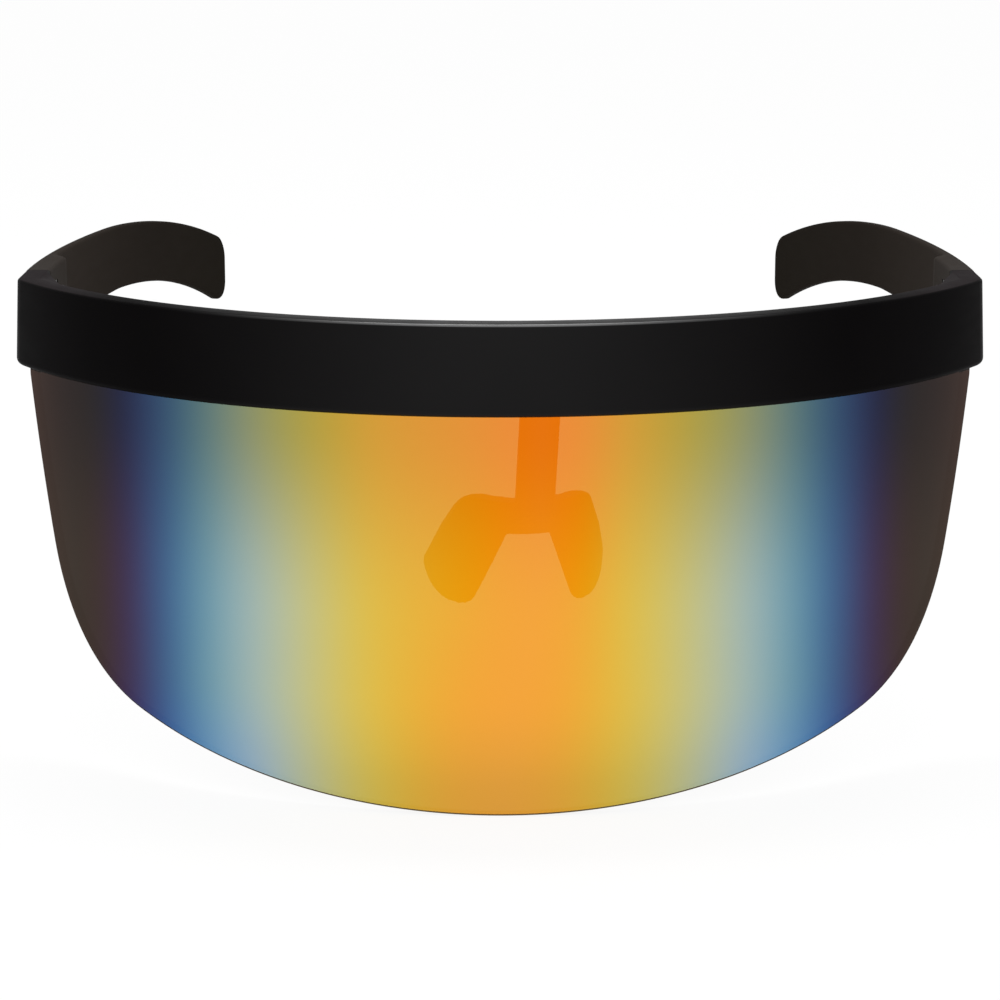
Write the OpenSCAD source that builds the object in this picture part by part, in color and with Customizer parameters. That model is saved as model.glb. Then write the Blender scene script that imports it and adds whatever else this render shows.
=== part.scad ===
// Shield sunglasses: a flat-topped brow bar carries one cylindrical wraparound lens
// and a one-piece nose piece, and two curved temples fold inward on screw hinges.
// Origin: middle of the bar's flat top face, at mid-wall. The lens faces -Y, temples run to +Y.

/* [Brow bar] */
// Width over the outer faces of the two end pieces
front_w = 173; // [167:1:177]
// Height of the bar
bar_h = 15.4; // [14:0.2:18]
// Wall thickness of the bar
bar_t = 5; // [4.6:0.1:5.2]
// Turn of the bar's curve on each side of the middle, in degrees
bar_half_turn = 59; // [56:0.5:62]
// Mid-wall plan radius of the corners where the bar turns back
corner_r = 6; // [5:0.5:9]
// Straight length of each end piece, from the corner to the hinge seam
end_len = 9; // [9:0.5:14]
// Rounding of the bar's outer top edge
top_edge_r = 0.7; // [0.4:0.1:1.2]
// How far the outer face leans in from the underside to the top
bar_lean_in = 0.6; // [0:0.1:0.8]
// Rounding of the bar's outer lower edge
low_edge_r = 1.2; // [0.4:0.1:1.3]
// Rounding of the bar's inner edges
bar_edge_r = 0.5; // [0.2:0.1:0.8]
// Turn of the bar's curve where the web in each corner starts, in degrees
web_turn = 54.5; // [52:0.5:57]
// Distance from the butt face to where that web ends
web_gap = 1; // [0.5:0.5:3]
// Step from the bar's top and underside to the web's
web_step = 0.1; // [0.1:0.1:0.5]

/* [Lens] */
// Thickness of the lens sheet
lens_t = 1.8; // [1.4:0.1:2]
// Step from the bar's outer face back to the lens face
lens_step = 1.6; // [1.4:0.1:1.9]
// Height of lens below the bar at the middle
lens_h = 68.2; // [62:1:76]
// Unrolled radius of the lens's lower edge
lens_low_r = 197; // [180:1:230]
// Unrolled radius of the lower corners
lens_corner_r = 40; // [34:1:46]
// Unrolled radius of the nearly straight side edges
lens_side_r = 450; // [350:10:600]
// Turn of the lower edge before each corner starts, in degrees
lens_low_turn = 20.2; // [17:0.1:22]
// Turn of the edge where each corner ends and the side starts, in degrees
lens_side_turn = 72.7; // [70:0.1:75]
// Height of the tongue that the bar's groove holds
tongue_h = 5; // [4:0.5:7]
// Turn by which each end of the tongue stays short of the lens's upper corner, in degrees
shoulder_turn = 3; // [2:0.5:5]
// Slack of the lens in its groove, on each face
lens_slack = 0.1; // [0.05:0.01:0.15]
// Width of the locating keys in the groove
key_w = 3; // [2:0.5:5]
// Height of the locating keys
key_h = 2.5; // [1.5:0.5:3.5]
// Turn from the middle out to each key, in degrees
key_turn = 30; // [20:1:45]

/* [Nose piece] */
// Sideways place of the stem, off the bar's middle
nose_shift = 6.6; // [0:0.2:8]
// Turn of the nose piece about the vertical, in degrees
nose_turn = 9; // [0:1:16]
// Width of the stem
stem_w = 6.6; // [5:0.1:8]
// Thickness of the stem and its tab
stem_t = 1.8; // [1.4:0.1:2.2]
// Height of the stem below the bar
stem_h = 16.4; // [13:0.2:19]
// How far the stem leans back over that height
stem_lean = 5; // [3:0.5:7]
// Height of the tab inside the bar's boss
tab_h = 8; // [6:0.5:10]
// Gap from the bar's inner face to the middle of the tab
tab_gap = 1.2; // [1.1:0.1:1.8]
// Width over the two pads
saddle_w = 31.5; // [28:0.5:33]
// Sideways offset of the saddle from the stem
saddle_shift = -0.9; // [-1.2:0.1:0]
// Height of the saddle with its pads
saddle_h = 21.5; // [18:0.5:24]
// Depth of the crossbar that joins the pads
crossbar_h = 6; // [5:0.5:7.5]
// Width of the arch right under the crossbar
arch_w = 5.5; // [5:0.5:9]
// Width over the crossbar's shoulders
shoulder_w = 23; // [20:0.5:24]
// Half-round radius of each pad's lower end
pad_end_r = 2.8; // [2:0.1:3.2]
// Radius of each pad at its widest
pad_r = 3.9; // [3.2:0.1:4.4]
// Place of each pad's lower end, out from the middle
pad_end_x = 11.2; // [9.8:0.2:12]
// Plan radius of the U that the saddle is bent to
saddle_r = 16; // [15.6:0.2:18]
// Wall of the saddle
saddle_t = 2.2; // [1.6:0.1:2.8]
// Fillet where the crossbar meets the pads under the arch
arch_fillet_r = 1.5; // [0.5:0.1:2]
// Backward lean of the saddle, in degrees
saddle_lean = 16; // [0:1:24]
// Depth of the pads from front to back
pad_depth = 13.5; // [10:0.5:15]

/* [Temples] */
// Length of each temple along its outer face
temple_len = 124; // [112:1:130]
// Thickness of the band
temple_t = 2; // [1.7:0.1:2.6]
// Step from the end piece's outer face to the temple's
temple_step = 0.5; // [0.1:0.1:0.8]
// Length of the thick root that holds the hinge
root_len = 17; // [9.5:0.5:20]
// Length over which the root thins to the band
taper_len = 4; // [3:0.5:12]
// Length over which the temple curves inward
bend_len = 67; // [50:1:80]
// Plan radius of that curve
bend_r = 257; // [220:1:300]
// Height of the band where its lower edge starts to drop
waist_h = 12.7; // [11:0.1:14]
// Distance from the seam to where the upper edge starts to drop
top_drop_at = 57; // [45:1:70]
// Side radius of the upper edge's drop
top_drop_r = 215; // [180:1:260]
// Distance from the seam to where the lower edge starts to drop
low_drop_at = 62; // [55:1:75]
// Side radius of the lower edge's drop
low_drop_r = 158; // [130:1:200]
// Rounding of the tip's upper corner
tip_top_r = 4; // [3:0.5:6]
// Rounding of the tip's lower corner
tip_low_r = 6; // [4:0.5:7]
// Rounding of the band's long edges
band_edge_r = 0.6; // [0.3:0.1:0.8]

/* [Hinges] */
// Height of the three stacked knuckles
hinge_h = 9.6; // [8:0.2:11]
// Radius of the knuckles
knuckle_r = 1.7; // [1.6:0.05:1.9]
// Thickness of the hinge leaves
leaf_t = 0.8; // [0.6:0.05:0.85]
// Length of each leaf, from the pivot
leaf_len = 8; // [7:0.25:8.25]
// Distance of the pivot inside the bar's inner face
pivot_in = 0.8; // [0.7:0.05:1]
// Radius of the pivot screw's shank
pivot_screw_r = 0.7; // [0.5:0.05:0.8]
// Radius of the pivot screw's head
pivot_head_r = 1.15; // [1:0.05:1.25]
// Height of the pivot screw's head
pivot_head_h = 0.7; // [0.5:0.1:1]
// Running slack between the pivot screw and its bores
pivot_slack = 0.05; // [0.02:0.01:0.08]
// Gap between neighbouring knuckles
knuckle_gap = 0.15; // [0.1:0.05:0.25]
// Gap between end piece and temple at the hinge seam
seam_gap = 0.24; // [0.2:0.02:0.3]
// Room round the knuckles in the plastic
pocket_gap = 0.25; // [0.2:0.05:0.3]
// Room round the leaves in their recesses
leaf_slack = 0.1; // [0.05:0.05:0.2]
// Radius of the leaf screws' shanks
leaf_screw_r = 0.55; // [0.4:0.05:0.65]
// Radius of the leaf screws' heads
leaf_head_r = 1; // [0.8:0.05:1.2]
// Length of the leaf screws with their heads
leaf_screw_len = 2.5; // [2:0.1:2.7]
// Distance from the pivot to the leaf screws
leaf_screw_at = 5.4; // [5:0.1:5.6]
// Distance between a leaf's two screws
leaf_screw_gap = 5; // [4:0.2:5.6]
// Width and depth of the screwdriver slots
slot_w = 0.3; // [0.2:0.05:0.4]

/* [Hidden] */

// Facets of the large, the middle and the small rounds
large_fn = 360;
middle_fn = 96;
small_fn = 48;
// Overrun of every cut past the face it starts from
cut = 1;

// Bar: its plan is one centre line of main arc, corner and straight end piece.
// The main arc's radius is rounded to a hundredth and its turn worked out again, so that the pieces meet.
end_mid_x = front_w / 2 - bar_t / 2;
end_in_x = front_w / 2 - bar_t;
corner_x = end_mid_x - corner_r;
bar_mid_r = corner_r + round(100 * corner_x / sin(bar_half_turn)) / 100;
half_turn = asin(corner_x / (bar_mid_r - corner_r));
bar_r = bar_mid_r + bar_t / 2;
bar_in_r = bar_mid_r - bar_t / 2;
bar_centre_y = bar_mid_r;
corner_y = bar_centre_y - (bar_mid_r - corner_r) * cos(half_turn);
bar_end_y = corner_y + end_len;
seam_y = bar_end_y + seam_gap / 2;
temple_start_y = bar_end_y + seam_gap;

// Lens: a slice of tube round the bar's own centre, cut a little past its side edges first
lens_out_r = bar_r - lens_step;
lens_in_r = lens_out_r - lens_t;
tongue_half_turn = half_turn - shoulder_turn;
over_turn = 0.4;
key_clear = 0.2;
key_t = lens_t + 4 * lens_slack;
groove_h = tongue_h + key_clear;

// Lens outline, unrolled: lower arc, corner arc and side arc, each tangent to the next
low_centre = [0, lens_low_r - lens_h];
corner_centre = low_centre + (lens_low_r - lens_corner_r) * [sin(lens_low_turn), -cos(lens_low_turn)];
side_centre = corner_centre + (lens_corner_r - lens_side_r) * [sin(lens_side_turn), -cos(lens_side_turn)];
side_turn = acos(side_centre[1] / lens_side_r);
tongue_turn = acos((side_centre[1] - tongue_h - cut) / lens_side_r);
lens_half_arc = side_centre[0] + lens_side_r * sin(side_turn);

function on_arc(centre, r, turn) = centre + r * [sin(turn), -cos(turn)];

lens_half = concat(
    [for (i = [0:13]) on_arc(low_centre, lens_low_r, lens_low_turn * i / 14)],
    [
        for (i = [0:11])
            on_arc(corner_centre, lens_corner_r, lens_low_turn + (lens_side_turn - lens_low_turn) * i / 12)
    ],
    [for (i = [0:6]) on_arc(side_centre, lens_side_r, lens_side_turn + (side_turn - lens_side_turn) * i / 6)],
    [on_arc(side_centre, lens_side_r, tongue_turn)]
);
lens_last = len(lens_half) - 1;
lens_edge = concat(
    [for (i = [lens_last:-1:1]) [-lens_half[i][0], lens_half[i][1]]],
    lens_half
);

// Nose piece: the stem's tab stands in a boss behind the bar
tab_x = nose_shift;
tab_y = bar_centre_y - sqrt(pow(bar_in_r, 2) - pow(nose_shift, 2)) + tab_gap;
tab_slack = 0.1;
boss_wall = 1.1;
boss_w = stem_w + 2 * boss_wall + 2 * tab_slack;
boss_h = tab_h + tab_slack + boss_wall;
boss_bevel = 1.5;
boss_root = 0.5;
// Level of the pads' widest place and of their deepest place, as shares of the saddle's height
pad_wide_share = 0.72;
pad_deep_share = 0.66;
// Rounding of the pads' back, as a share of their depth
pad_back_share = 0.33;

// Hinges
pivot_x = end_in_x - pivot_in;
hinge_mid_z = -bar_h / 2;
knuckle_h = (hinge_h - 2 * knuckle_gap) / 3;
leaf_head_share = 0.85;
leaf_head_h = leaf_head_share * leaf_t;
leaf_edge_gap = knuckle_r + leaf_slack;
pocket_r = knuckle_r + pocket_gap;

// Temples
temple_out_x = front_w / 2 - temple_step;
root_t = temple_out_x - end_in_x;
bend_turn = bend_len / bend_r * 180 / PI;

// Drop of a round edge of radius r at a distance past its start
function arc_drop(past, r) = past <= 0 ? 0 : r - sqrt(max(0, pow(r, 2) - pow(past, 2)));
// Ease from 0 to 1
function ease(share) = share <= 0 ? 0 : share >= 1 ? 1 : share * share * (3 - 2 * share);

// Point of the temple's outer face and its heading, at a distance along the face
function band_turn(along) = bend_turn * min(1, along / bend_len);
function band_point(along) =
    let(turn = band_turn(along), rest = max(0, along - bend_len))
    [
        temple_out_x - bend_r * (1 - cos(turn)) - rest * sin(turn),
        temple_start_y + bend_r * sin(turn) + rest * cos(turn)
    ];
function band_top(along) =
    -arc_drop(along - top_drop_at, top_drop_r) - arc_drop(along - (temple_len - tip_top_r), tip_top_r);
function band_low(along) =
    -bar_h + (bar_h - waist_h) * min(1, along / low_drop_at)
    - arc_drop(along - low_drop_at, low_drop_r) + arc_drop(along - (temple_len - tip_low_r), tip_low_r);
function band_t(along) = root_t + (temple_t - root_t) * ease((along - root_len) / taper_len);

// Rounded section of the band, as points of [in from the outer face, height]
corner_steps = 3;
least_edge_share = 0.1;
function band_ring(along) =
    let(
        inset = arc_drop(along - (temple_len - band_edge_r), band_edge_r),
        r = max(band_edge_r - inset, least_edge_share * band_edge_r),
        near = inset + r,
        far = band_t(along) - inset - r,
        top = band_top(along) - inset - r,
        low = band_low(along) + inset + r
    )
    [
        for (corner = [[near, top, 90], [near, low, 180], [far, low, 270], [far, top, 0]])
            for (i = [0:corner_steps])
                let(a = corner[2] + 90 * i / corner_steps)
                [corner[0] + r * cos(a), corner[1] + r * sin(a)]
    ];

// Places along the temple where it has a section
tip_r = max(tip_top_r, tip_low_r);
band_places = concat(
    [for (i = [0:4]) root_len * i / 5],
    [for (i = [0:8]) root_len + taper_len * i / 8],
    [for (i = [1:6]) root_len + taper_len + (top_drop_at - root_len - taper_len) * i / 6],
    [for (i = [1:14]) top_drop_at + (temple_len - tip_r - top_drop_at) * i / 14],
    [for (i = [1:10]) temple_len - tip_r + tip_r * sin(90 * i / 10)]
);

// Points of an arc in a profile
function profile_arc(centre, r, from) =
    [for (i = [0:6]) centre + r * [cos(from + 15 * i), sin(from + 15 * i)]];

// Section of the bar: x outward from mid-wall, y up from the underside to the flat top at 0
module bar_profile() {
    half = bar_t / 2;
    polygon(concat(
        profile_arc([half - bar_lean_in - top_edge_r, -top_edge_r], top_edge_r, 0),
        profile_arc([bar_edge_r - half, -bar_edge_r], bar_edge_r, 90),
        profile_arc([bar_edge_r - half, bar_edge_r - bar_h], bar_edge_r, 180),
        profile_arc([half - low_edge_r, low_edge_r - bar_h], low_edge_r, 270)
    ));
}

// Turns a profile about the bar's centre, over an even sweep each side of the middle
module round_front(half_sweep) {
    translate([0, bar_centre_y, 0])
        rotate([0, 0, -90 - half_sweep])
            rotate_extrude(angle = 2 * half_sweep, $fn = large_fn)
                children();
}

// Both sides, the right one as drawn and the left one mirrored
module both_sides() {
    children();
    mirror([1, 0, 0]) children();
}

// Corner and straight end piece on the right
module bar_end() {
    translate([corner_x, corner_y, 0])
        mirror([0, 1, 0])
            rotate_extrude(angle = 90 - half_turn, $fn = large_fn)
                translate([corner_r, 0]) bar_profile();
    translate([end_mid_x, bar_end_y, 0])
        rotate([90, 0, 0])
            linear_extrude(end_len) bar_profile();
}

// Web that fills the inner corner on the right, a little below the bar's top and above its underside
module corner_web() {
    centre = [0, bar_centre_y];
    web_end_y = bar_end_y - web_gap;
    translate([0, 0, web_step - bar_h])
        linear_extrude(bar_h - 2 * web_step)
            polygon([
                on_arc(centre, bar_in_r + bar_edge_r, web_turn),
                on_arc(centre, bar_mid_r, web_turn),
                [end_mid_x, corner_y + bar_edge_r],
                [end_mid_x, web_end_y],
                [end_in_x + bar_edge_r, web_end_y]
            ]);
}

// Place of the nose piece's stem, turned with it
module at_nose() {
    translate([tab_x, tab_y, -bar_h]) rotate([0, 0, nose_turn]) children();
}

// Boss behind the bar, with bevelled sides
module nose_boss() {
    front = -tab_gap - boss_root;
    back = stem_t / 2 + tab_slack + boss_wall;
    translate([tab_x, tab_y, -bar_h])
        rotate([0, 0, asin(nose_shift / bar_in_r)])
            linear_extrude(boss_h)
                polygon([
                    [-boss_w / 2 - boss_bevel, front],
                    [boss_w / 2 + boss_bevel, front],
                    [boss_w / 2, back],
                    [-boss_w / 2, back]
                ]);
}

// Round the pivot, at mid-height of the hinge
module at_pivot() {
    translate([pivot_x, seam_y, hinge_mid_z]) children();
}

// Leaf screw places: side is -1 on the end piece and 1 on the temple, X points into the plastic
module at_leaf_screws(side) {
    for (level = [-1, 1])
        translate([end_in_x, seam_y + side * leaf_screw_at, hinge_mid_z + level * leaf_screw_gap / 2])
            rotate([0, 90, 0])
                children();
}

// Recess for a leaf and its screws, cut into the plastic, and on the end piece through the web too
module leaf_seat(side) {
    seat_h = hinge_h + 2 * leaf_slack;
    seat_len = leaf_len + leaf_slack;
    reach = side < 0 ? corner_r : cut;
    translate([
        end_in_x - reach,
        seam_y + (side < 0 ? -seat_len : 0),
        hinge_mid_z - seat_h / 2
    ])
        cube([leaf_t + reach, seat_len, seat_h]);
    at_leaf_screws(side)
        cylinder(h = leaf_screw_len + leaf_slack, r = leaf_screw_r + pivot_slack, $fn = small_fn);
}

// Round pocket for the knuckles
module knuckle_pocket() {
    at_pivot()
        cylinder(h = hinge_h + 2 * pocket_gap, r = pocket_r, center = true, $fn = middle_fn);
}

module brow_bar() {
    color([0.09, 0.085, 0.085])
        difference() {
            union() {
                round_front(half_turn) translate([bar_mid_r, 0]) bar_profile();
                both_sides() {
                    bar_end();
                    corner_web();
                }
                nose_boss();
            }
            difference() {
                round_front(tongue_half_turn)
                    translate([lens_in_r - lens_slack, -bar_h - cut])
                        square([lens_t + 2 * lens_slack, groove_h + cut]);
                both_sides() lens_key(key_w, key_t);
            }
            at_nose()
                translate([-stem_w / 2 - tab_slack, -stem_t / 2 - tab_slack, -cut])
                    cube([stem_w + 2 * tab_slack, stem_t + 2 * tab_slack, tab_h + tab_slack + cut]);
            both_sides() {
                leaf_seat(-1);
                knuckle_pocket();
            }
        }
}

// Locating key that hangs from the roof of the groove, on the right
module lens_key(w, t) {
    translate([0, bar_centre_y, 0])
        rotate([0, 0, key_turn - 90])
            translate([lens_in_r + lens_t / 2 - t / 2, -w / 2, groove_h - key_h - bar_h])
                cube([t, w, key_h + cut]);
}

// All that lies below the lens's lower edge, in radial strips
module below_lens() {
    near = lens_in_r - cut;
    far = lens_out_r + cut;
    floor_z = -bar_h - lens_h - cut;
    count = len(lens_edge);
    points = [
        for (place = lens_edge)
            let(turn = half_turn * place[0] / lens_half_arc, edge_z = place[1] - bar_h)
            for (corner = [[near, floor_z], [far, floor_z], [far, edge_z], [near, edge_z]])
                [corner[0] * sin(turn), bar_centre_y - corner[0] * cos(turn), corner[1]]
    ];
    sides = [
        for (i = [0:count - 2])
            for (j = [0:3])
                let(a = 4 * i + j, b = 4 * i + (j + 1) % 4)
                for (triangle = [[a, b, b + 4], [a, b + 4, a + 4]])
                    triangle
    ];
    last = 4 * (count - 1);
    polyhedron(points, concat(sides, [[3, 2, 1, 0], [last, last + 1, last + 2, last + 3]]));
}

module shield_lens() {
    lens_top = tongue_h - bar_h;
    lens_low = -bar_h - lens_h - cut / 2;
    color([0.85, 0.55, 0.15])
        difference() {
            round_front(half_turn + over_turn)
                translate([lens_in_r, lens_low])
                    square([lens_t, lens_top - lens_low]);
            below_lens();
            both_sides() {
                translate([0, bar_centre_y, 0])
                    rotate([0, 0, tongue_half_turn - 90])
                        rotate_extrude(angle = 2 * shoulder_turn, $fn = large_fn)
                            translate([lens_in_r - cut, -bar_h - lens_slack])
                                square([lens_t + 2 * cut, tongue_h + lens_slack + cut]);
                lens_key(key_w + 2 * key_clear, lens_t + 2 * cut);
            }
        }
}

// Front view of crossbar and pads, y up from the crossbar's top
module saddle_front() {
    bar_round = crossbar_h / 2;
    bar_x = shoulder_w / 2 - bar_round;
    arch_x = arch_w / 2 + bar_round;
    pad_x = saddle_w / 2 - pad_r;
    pad_y = -pad_wide_share * saddle_h;
    offset(r = -arch_fillet_r, $fn = small_fn)
        offset(r = arch_fillet_r, $fn = small_fn) {
            hull()
                both_sides() translate([bar_x, -bar_round]) circle(bar_round, $fn = small_fn);
            both_sides()
                hull() {
                    translate([arch_x, -bar_round]) circle(bar_round, $fn = small_fn);
                    translate([bar_x, -bar_round]) circle(bar_round, $fn = small_fn);
                    translate([pad_x, pad_y]) circle(pad_r, $fn = small_fn);
                    translate([pad_end_x, pad_end_r - saddle_h]) circle(pad_end_r, $fn = small_fn);
                }
        }
}

// Side view of the saddle, x back from its front and y up from its top
module saddle_side() {
    front_round = crossbar_h / 2;
    back_r = pad_back_share * pad_depth;
    hull() {
        translate([front_round - cut, -front_round + cut]) circle(front_round, $fn = small_fn);
        translate([pad_depth - back_r, -pad_deep_share * saddle_h]) circle(back_r, $fn = small_fn);
        translate([pad_depth - back_r - pad_end_r, pad_end_r - saddle_h]) circle(pad_end_r, $fn = small_fn);
        translate([pad_end_r - cut, pad_end_r - saddle_h]) circle(pad_end_r, $fn = small_fn);
    }
}

// Crossbar and pads in one, bent to a U in plan
module saddle() {
    intersection() {
        translate([0, saddle_r, -saddle_h - cut])
            difference() {
                cylinder(h = saddle_h + 2 * cut, r = saddle_r, $fn = middle_fn);
                translate([0, 0, -cut])
                    cylinder(h = saddle_h + 4 * cut, r = saddle_r - saddle_t, $fn = middle_fn);
            }
        translate([0, pad_depth + cut, 0])
            rotate([90, 0, 0])
                linear_extrude(pad_depth + 2 * cut) saddle_front();
        rotate([90, 0, 90])
            translate([0, 0, -saddle_w / 2 - cut])
                linear_extrude(saddle_w + 2 * cut) saddle_side();
    }
}

module nose_piece() {
    stem_side = [
        [-stem_t / 2, tab_h],
        [-stem_t / 2, 0],
        [stem_lean - stem_t / 2, -stem_h],
        [stem_lean - stem_t / 2, -stem_h - crossbar_h / 2],
        [stem_lean + stem_t / 2, -stem_h - crossbar_h / 2],
        [stem_lean + stem_t / 2, -stem_h],
        [stem_t / 2, 0],
        [stem_t / 2, tab_h]
    ];
    color([0.12, 0.11, 0.11])
        at_nose() {
            rotate([90, 0, 90])
                translate([0, 0, -stem_w / 2])
                    linear_extrude(stem_w) polygon(stem_side);
            translate([saddle_shift, stem_lean - stem_t / 2, -stem_h])
                rotate([saddle_lean, 0, 0])
                    saddle();
        }
}

// Curved band with its thick root, dropping behind the ear, on the right
module temple_band() {
    rings = [
        for (along = band_places)
            let(at = band_point(along), turn = band_turn(along))
            [
                for (p = band_ring(along))
                    [at[0] - p[0] * cos(turn), at[1] - p[0] * sin(turn), p[1]]
            ]
    ];
    size = len(rings[0]);
    last = len(rings) - 1;
    sides = [
        for (i = [0:last - 1])
            for (j = [0:size - 1])
                let(a = i * size + j, b = i * size + (j + 1) % size)
                for (triangle = [[a, b + size, b], [a, a + size, b + size]])
                    triangle
    ];
    root_cap = [for (j = [0:size - 1]) j];
    tip_cap = [for (j = [size - 1:-1:0]) last * size + j];
    polyhedron([for (ring = rings) for (p = ring) p], concat(sides, [root_cap, tip_cap]));
}

module temple() {
    color([0.11, 0.10, 0.10])
        difference() {
            temple_band();
            leaf_seat(1);
            knuckle_pocket();
        }
}

// One leaf on the right with the knuckles at the given levels: side is -1 in front and 1 on the temple
module hinge_half(side, levels, other_levels) {
    knuckle_step = knuckle_h + knuckle_gap;
    color([0.62, 0.62, 0.64])
        difference() {
            union() {
                translate([end_in_x, seam_y + (side < 0 ? -leaf_len : 0), hinge_mid_z - hinge_h / 2])
                    cube([leaf_t, leaf_len, hinge_h]);
                at_pivot()
                    for (level = levels)
                        translate([0, 0, level * knuckle_step - knuckle_h / 2])
                            cylinder(h = knuckle_h, r = knuckle_r, $fn = middle_fn);
            }
            at_pivot() {
                for (level = other_levels)
                    translate([0, 0, level * knuckle_step - knuckle_h / 2 - knuckle_gap])
                        cylinder(h = knuckle_h + 2 * knuckle_gap, r = leaf_edge_gap, $fn = middle_fn);
                translate([0, 0, -hinge_h])
                    cylinder(h = 2 * hinge_h, r = pivot_screw_r + pivot_slack, $fn = small_fn);
                translate([0, 0, hinge_h / 2 - pivot_head_h])
                    cylinder(h = pivot_head_h + cut, r = pivot_head_r + pivot_slack, $fn = small_fn);
            }
            at_leaf_screws(side) {
                translate([0, 0, -cut])
                    cylinder(h = leaf_t + 2 * cut, r = leaf_screw_r + pivot_slack, $fn = small_fn);
                cylinder(
                    h = leaf_head_h, r1 = leaf_head_r + pivot_slack, r2 = leaf_screw_r + pivot_slack,
                    $fn = small_fn
                );
            }
        }
}

module front_hinge() {
    hinge_half(-1, [-1, 1], [0]);
}

module temple_hinge() {
    hinge_half(1, [0], [-1, 1]);
}

// Pivot screw on the right, head up
module pivot_screw() {
    color([0.7, 0.7, 0.72])
        at_pivot()
            difference() {
                union() {
                    translate([0, 0, -hinge_h / 2])
                        cylinder(h = hinge_h, r = pivot_screw_r, $fn = small_fn);
                    translate([0, 0, hinge_h / 2 - pivot_head_h])
                        cylinder(h = pivot_head_h, r = pivot_head_r, $fn = small_fn);
                }
                translate([-pivot_head_r - cut, -slot_w / 2, hinge_h / 2 - slot_w])
                    cube([2 * pivot_head_r + 2 * cut, slot_w, slot_w + cut]);
            }
}

// The two countersunk screws of one leaf on the right
module leaf_screws(side) {
    color([0.7, 0.7, 0.72])
        at_leaf_screws(side)
            difference() {
                union() {
                    cylinder(h = leaf_head_h, r1 = leaf_head_r, r2 = leaf_screw_r, $fn = small_fn);
                    cylinder(h = leaf_screw_len, r = leaf_screw_r, $fn = small_fn);
                }
                translate([-slot_w / 2, -leaf_head_r - cut, -cut])
                    cube([slot_w, 2 * leaf_head_r + 2 * cut, slot_w + cut]);
            }
}

brow_bar();
shield_lens();
nose_piece();
mirror([1, 0, 0]) temple();  // left_temple
temple();  // right_temple
mirror([1, 0, 0]) front_hinge();  // left_front_hinge
front_hinge();  // right_front_hinge
mirror([1, 0, 0]) temple_hinge();  // left_temple_hinge
temple_hinge();  // right_temple_hinge
mirror([1, 0, 0]) pivot_screw();  // left_pivot_screw
pivot_screw();  // right_pivot_screw
mirror([1, 0, 0]) leaf_screws(-1);  // left_front_leaf_screws
leaf_screws(-1);  // right_front_leaf_screws
mirror([1, 0, 0]) leaf_screws(1);  // left_temple_leaf_screws
leaf_screws(1);  // right_temple_leaf_screws
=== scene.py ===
import math

import bmesh
import bpy
from mathutils import Matrix, Vector


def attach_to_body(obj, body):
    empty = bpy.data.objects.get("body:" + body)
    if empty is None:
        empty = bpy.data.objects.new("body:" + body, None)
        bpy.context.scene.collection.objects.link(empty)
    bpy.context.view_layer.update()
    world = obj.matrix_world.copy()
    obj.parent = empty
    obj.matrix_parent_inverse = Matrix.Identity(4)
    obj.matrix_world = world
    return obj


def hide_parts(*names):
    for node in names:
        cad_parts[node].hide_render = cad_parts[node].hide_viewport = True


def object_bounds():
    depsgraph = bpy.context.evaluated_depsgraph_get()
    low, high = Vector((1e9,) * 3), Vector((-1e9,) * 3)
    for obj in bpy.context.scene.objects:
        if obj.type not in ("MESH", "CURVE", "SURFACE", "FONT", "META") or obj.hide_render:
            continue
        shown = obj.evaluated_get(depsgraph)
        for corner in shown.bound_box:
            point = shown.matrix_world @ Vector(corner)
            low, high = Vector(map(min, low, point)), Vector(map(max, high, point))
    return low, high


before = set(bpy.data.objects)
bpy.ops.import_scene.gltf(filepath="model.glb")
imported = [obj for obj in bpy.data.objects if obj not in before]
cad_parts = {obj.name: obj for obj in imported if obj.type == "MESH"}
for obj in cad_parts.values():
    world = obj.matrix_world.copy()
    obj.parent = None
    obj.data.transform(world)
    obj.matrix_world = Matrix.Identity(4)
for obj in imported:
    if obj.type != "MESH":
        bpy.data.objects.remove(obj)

cad_low, cad_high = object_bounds()
MM = 0.001

# Sizes in millimetres, as in the CAD where nothing else is said
# Brow bar. Its upper front edge is finer than in the CAD, for the width of its highlight.
FRONT_W = 173.0
BAR_H, BAR_T = 15.4, 5.0
BAR_HALF_TURN = math.radians(59)
BAR_LEAN_IN = 0.6
BAR_TOP_EDGE_R, BAR_LOW_EDGE_R, BAR_EDGE_R = 0.55, 1.2, 0.5
CORNER_R, END_LEN = 6.0, 9.0
SEAM_GAP = 0.24
END_MID_X = FRONT_W / 2 - BAR_T / 2
END_IN_X = FRONT_W / 2 - BAR_T
CORNER_X = END_MID_X - CORNER_R
BAR_MID_R = CORNER_R + round(CORNER_X / math.sin(BAR_HALF_TURN), 2)
BAR_IN_R = BAR_MID_R - BAR_T / 2
BAR_CENTRE = (0, BAR_MID_R)
HALF_TURN = math.asin(CORNER_X / (BAR_MID_R - CORNER_R))
CORNER_Y = BAR_MID_R - (BAR_MID_R - CORNER_R) * math.cos(HALF_TURN)
BAR_END_Y = CORNER_Y + END_LEN
SEAM_Y = BAR_END_Y + SEAM_GAP / 2

# Web in each of the bar's inner corners, its step finer than in the CAD
WEB_TURN, WEB_GAP, WEB_STEP = math.radians(54.5), 1.0, 0.02
WEB_LENS_GAP, WEB_PAST_TURN, WEB_CORNER_IN = 0.3, 0.01, 0.8

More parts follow.
